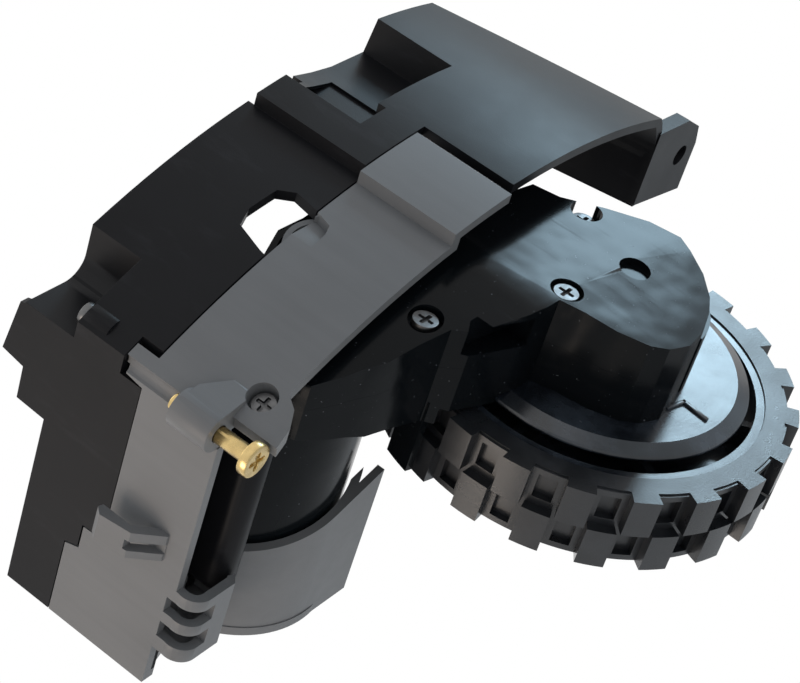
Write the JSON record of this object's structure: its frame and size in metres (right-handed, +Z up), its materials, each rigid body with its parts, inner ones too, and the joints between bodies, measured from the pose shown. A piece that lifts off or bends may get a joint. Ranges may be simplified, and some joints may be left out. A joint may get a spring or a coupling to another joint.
{
  "type": "robot vacuum wheel module",
  "caption": "Drop-down drive wheel on a geared swing arm, carried in a curved black and grey corner shell with a wheel arch and fixing lug.",
  "frame": {"origin": "centre of the fixing lug's hole on the lug's lower face", "axes": "+Z up in the robot along the lug hole, +Y outboard along the wheel axis, +X from the lug towards the motor end"},
  "size_m": [0.14, 0.0824, 0.1039],
  "materials": {
    "shell_plastic": "satin",
    "frame_plastic": "satin",
    "gearbox_plastic": "gloss",
    "hub_plastic": "gloss",
    "tyre_rubber": "matte",
    "gear_nylon": "satin",
    "plated_steel": "satin",
    "spring_steel": "satin",
    "screw_brass": "satin"
  },
  "bodies": {
    "chassis": {"outer_shell": "shell_plastic", "chassis_frame": "frame_plastic", "shell_screws": "plated_steel", "pivot_bush": "screw_brass", "microswitch": "shell_plastic", "return_spring": "spring_steel"},
    "captive_screw": {"captive_screw": "screw_brass"},
    "switch_lever": {"switch_lever": "plated_steel"},
    "arm": {"gearbox_case": "gearbox_plastic", "gearbox_cover": "gearbox_plastic", "flange_disc": "gearbox_plastic", "gearbox_screws": "plated_steel", "gear_pins": "plated_steel", "output_bearing": "plated_steel", "ring_gear": "gear_nylon", "motor_housing": "gearbox_plastic", "motor_can": "plated_steel", "motor_end_cap": "shell_plastic", "motor_terminals": "screw_brass"},
    "rotor": {"motor_rotor": "plated_steel"},
    "compound_1": {"compound_gear_1": "gear_nylon"},
    "compound_2": {"compound_gear_2": "gear_nylon"},
    "sun": {"sun_gear": "gear_nylon"},
    "planet_1": {"planet_gear_1": "gear_nylon"},
    "planet_2": {"planet_gear_2": "gear_nylon"},
    "planet_3": {"planet_gear_3": "gear_nylon"},
    "wheel": {"planet_carrier": "plated_steel", "wheel_hub": "hub_plastic", "tyre": "tyre_rubber", "wheel_screw": "plated_steel"}
  },
  "joints": [
    {"name": "arm_swing", "type": "hinge", "parent": "chassis", "child": "arm", "pos_m": [0.09514, -0.0161, 0.01602], "axis": [0, 1, 0], "range_deg": [0, 33], "stiffness_Nm_per_rad": 0.6, "springref_deg": -34.38},
    {"name": "wheel_spin", "type": "hinge", "parent": "arm", "child": "wheel", "pos_m": [0.0546, -0.0161, -0.021], "axis": [0, 1, 0], "continuous": true},
    {"name": "sun_spin", "type": "hinge", "parent": "arm", "child": "sun", "pos_m": [0.0546, 0.0019, -0.021], "axis": [0, 1, 0], "continuous": true},
    {"name": "compound_2_spin", "type": "hinge", "parent": "arm", "child": "compound_2", "pos_m": [0.06818, 0.0039, -0.00318], "axis": [0, 1, 0], "continuous": true},
    {"name": "compound_1_spin", "type": "hinge", "parent": "arm", "child": "compound_1", "pos_m": [0.08398, 0.0019, 0.00512], "axis": [0, 1, 0], "continuous": true},
    {"name": "motor_spin", "type": "hinge", "parent": "arm", "child": "rotor", "pos_m": [0.09514, -0.0161, 0.01602], "axis": [0, 1, 0], "continuous": true},
    {"name": "planet_1_spin", "type": "hinge", "parent": "wheel", "child": "planet_1", "pos_m": [0.0546, -0.0011, -0.0129], "axis": [0, 1, 0], "continuous": true},
    {"name": "planet_2_spin", "type": "hinge", "parent": "wheel", "child": "planet_2", "pos_m": [0.04759, -0.0011, -0.02505], "axis": [0, 1, 0], "continuous": true},
    {"name": "planet_3_spin", "type": "hinge", "parent": "wheel", "child": "planet_3", "pos_m": [0.06162, -0.0011, -0.02505], "axis": [0, 1, 0], "continuous": true},
    {"name": "captive_screw_slide", "type": "slide", "parent": "chassis", "child": "captive_screw", "axis": [0, 0, 1], "range_m": [0, 0.005]},
    {"name": "switch_lever_swing", "type": "hinge", "parent": "chassis", "child": "switch_lever", "pos_m": [0.1202, -0.0527, 0.0242], "axis": [0, 1, 0], "range_deg": [0, 8]}
  ],
  "couplings": [
    {"joint": "planet_1_spin", "follows": "wheel_spin", "ratio": -2.8},
    {"joint": "planet_2_spin", "follows": "wheel_spin", "ratio": -2.8},
    {"joint": "planet_3_spin", "follows": "wheel_spin", "ratio": -2.8},
    {"joint": "sun_spin", "follows": "wheel_spin", "ratio": 4.5},
    {"joint": "compound_2_spin", "follows": "wheel_spin", "ratio": -6},
    {"joint": "compound_1_spin", "follows": "wheel_spin", "ratio": 14.4},
    {"joint": "motor_spin", "follows": "wheel_spin", "ratio": -48},
    {"joint": "switch_lever_swing", "follows": "arm_swing", "ratio": 0.2}
  ]
}
